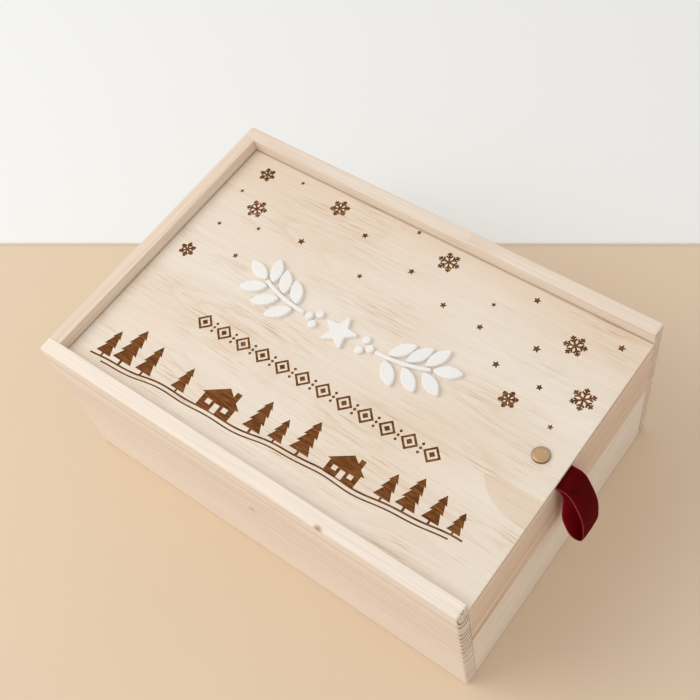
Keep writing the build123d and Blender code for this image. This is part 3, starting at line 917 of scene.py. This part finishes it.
class PINEBOX_OT_stage(bpy.types.Operator):
    """Sets the floor, the soft light and the camera."""

    bl_idname = "pinebox.stage"
    bl_label = "Floor, Light and Camera"

    def execute(self, context):
        scene = context.scene
        s = scene.pinebox_stage
        half = 4.0
        mesh = bpy.data.meshes.new("floor")
        corners = [(-half, -half, 0), (half, -half, 0), (half, half, 0), (-half, half, 0)]
        mesh.from_pydata(corners, [], [(0, 1, 2, 3)])
        mesh.materials.append(self.floor_material(s))
        floor = bpy.data.objects.new("floor", mesh)
        scene.collection.objects.link(floor)
        self.light(scene, s)
        self.camera(scene, s)
        scene.view_settings.view_transform = "Standard"
        return {"FINISHED"}

    def floor_material(self, s):
        """A plain painted top, pale and matte, that ends at a straight line behind the box."""
        material, tree, place = new_material("pale_table_top")
        edge_at = (-0.121, 0.142, 0)
        edge_normal = (-0.509, 0.861, 0)
        out = node(tree, "VectorMath", {0: place, 1: edge_at}, operation="SUBTRACT")
        past = node(tree, "VectorMath", {0: out, 1: edge_normal}, operation="DOT_PRODUCT")
        side = node(tree, "MapRange", {0: past, 1: 0.0, 2: 2 * MM})
        # A faint dark line lies along the edge, 4 mm to each side
        off = node(tree, "Math", {0: past}, operation="ABSOLUTE")
        line = node(tree, "MapRange", {0: off, 1: 0.0, 2: 4 * MM, 3: 0.86, 4: 1.0})
        # Faint clouds in the paint, about 110 mm across
        cloud = node(tree, "TexNoise", {"Vector": place, "Scale": 9.0, "Detail": 2.0})
        shade = node(tree, "MapRange", {0: cloud, 1: 0.3, 2: 0.7, 3: 0.985, 4: 1.0})
        floor = (*s.floor, 1)
        top = node(tree, "Mix", {0: 1.0, 6: floor, 7: shade}, data_type="RGBA", blend_type="MULTIPLY")
        both = node(tree, "Mix", {0: side, 6: top, 7: (*s.beyond, 1)}, data_type="RGBA")
        paint = node(tree, "Mix", {0: 1.0, 6: both, 7: line}, data_type="RGBA", blend_type="MULTIPLY")
        return surface(material, {"Base Color": paint, "Roughness": 0.8, "Specular IOR Level": 0.2})

    def light(self, scene, s):
        """A large soft lamp from the left, and an even pale room."""
        lamp = bpy.data.lights.new("window_light", "AREA")
        lamp.energy = s.key_power
        lamp.size = 1.3
        key = bpy.data.objects.new("window_light", lamp)
        key.location = (-1.0, -0.78, 1.45)
        key.rotation_euler = (-key.location).to_track_quat("-Z", "Y").to_euler()
        scene.collection.objects.link(key)
        world = bpy.data.worlds.new("soft_room")
        world.use_nodes = True
        tree = world.node_tree
        tree.nodes.clear()
        path = node(tree, "LightPath")
        seen = node(tree, "Math", {0: path.outputs["Is Camera Ray"], 1: path.outputs["Is Glossy Ray"]},
                    operation="MAXIMUM")
        seen = node(tree, "Math", {0: seen, 1: path.outputs["Is Transmission Ray"]},
                    operation="MAXIMUM")
        level = node(tree, "MapRange", {0: seen, 3: s.fill, 4: 1.0})
        back = node(tree, "Background", {"Color": (1, 0.99, 0.98, 1), "Strength": level})
        node(tree, "OutputWorld", {"Surface": back})
        scene.world = world

    def camera(self, scene, s):
        """A camera above the front right corner, tilted to its side."""
        lens = bpy.data.cameras.new("camera")
        lens.sensor_width = 36
        lens.lens = s.lens
        lens.shift_x = -0.01
        lens.shift_y = 0.0857
        place = Vector((0.3099, -0.2643, 0.7240))
        aim = Vector((0.0399, -0.0356, 0.1265))
        roll = math.radians(-15.1)
        camera = bpy.data.objects.new("camera", lens)
        camera.location = place
        camera.rotation_mode = "QUATERNION"
        camera.rotation_quaternion = (aim - place).to_track_quat("-Z", "Y") @ Quaternion((0, 0, 1), roll)
        scene.collection.objects.link(camera)
        scene.camera = camera


GROUPS = {
    "pinebox_boards": BoardSettings,
    "pinebox_lid": LidSettings,
    "pinebox_ornament": OrnamentSettings,
    "pinebox_ribbon": RibbonSettings,
    "pinebox_stud": StudSettings,
    "pinebox_stage": StageSettings,
}
OPERATORS = (
    PINEBOX_OT_stage, PINEBOX_OT_walls, PINEBOX_OT_base, PINEBOX_OT_lid,
    PINEBOX_OT_ornament, PINEBOX_OT_ribbon, PINEBOX_OT_stud,
)


class PINEBOX_PT_panel(bpy.types.Panel):
    """Lists the box's settings and the steps that build it."""

    bl_idname = "PINEBOX_PT_panel"
    bl_label = "Pine Box"
    bl_space_type = "VIEW_3D"
    bl_region_type = "UI"
    bl_category = "Pine Box"

    def draw(self, context):
        for name, group in GROUPS.items():
            box = self.layout.box()
            for key in group.__annotations__:
                box.prop(getattr(context.scene, name), key)
        for operator in OPERATORS:
            self.layout.operator(operator.bl_idname)


def register():
    for group in GROUPS.values():
        bpy.utils.register_class(group)
    for name, group in GROUPS.items():
        setattr(bpy.types.Scene, name, bpy.props.PointerProperty(type=group))
    for item in (*OPERATORS, PINEBOX_PT_panel):
        bpy.utils.register_class(item)


def unregister():
    for item in (PINEBOX_PT_panel, *reversed(OPERATORS)):
        bpy.utils.unregister_class(item)
    for name, group in GROUPS.items():
        delattr(bpy.types.Scene, name)
        bpy.utils.unregister_class(group)


def main():
    register()
    bpy.ops.pinebox.stage()
    bpy.ops.pinebox.walls()
    bpy.ops.pinebox.base()
    bpy.ops.pinebox.lid()
    bpy.ops.pinebox.ornament()
    bpy.ops.pinebox.ribbon()
    bpy.ops.pinebox.stud()


if __name__ == "__main__":
    main()
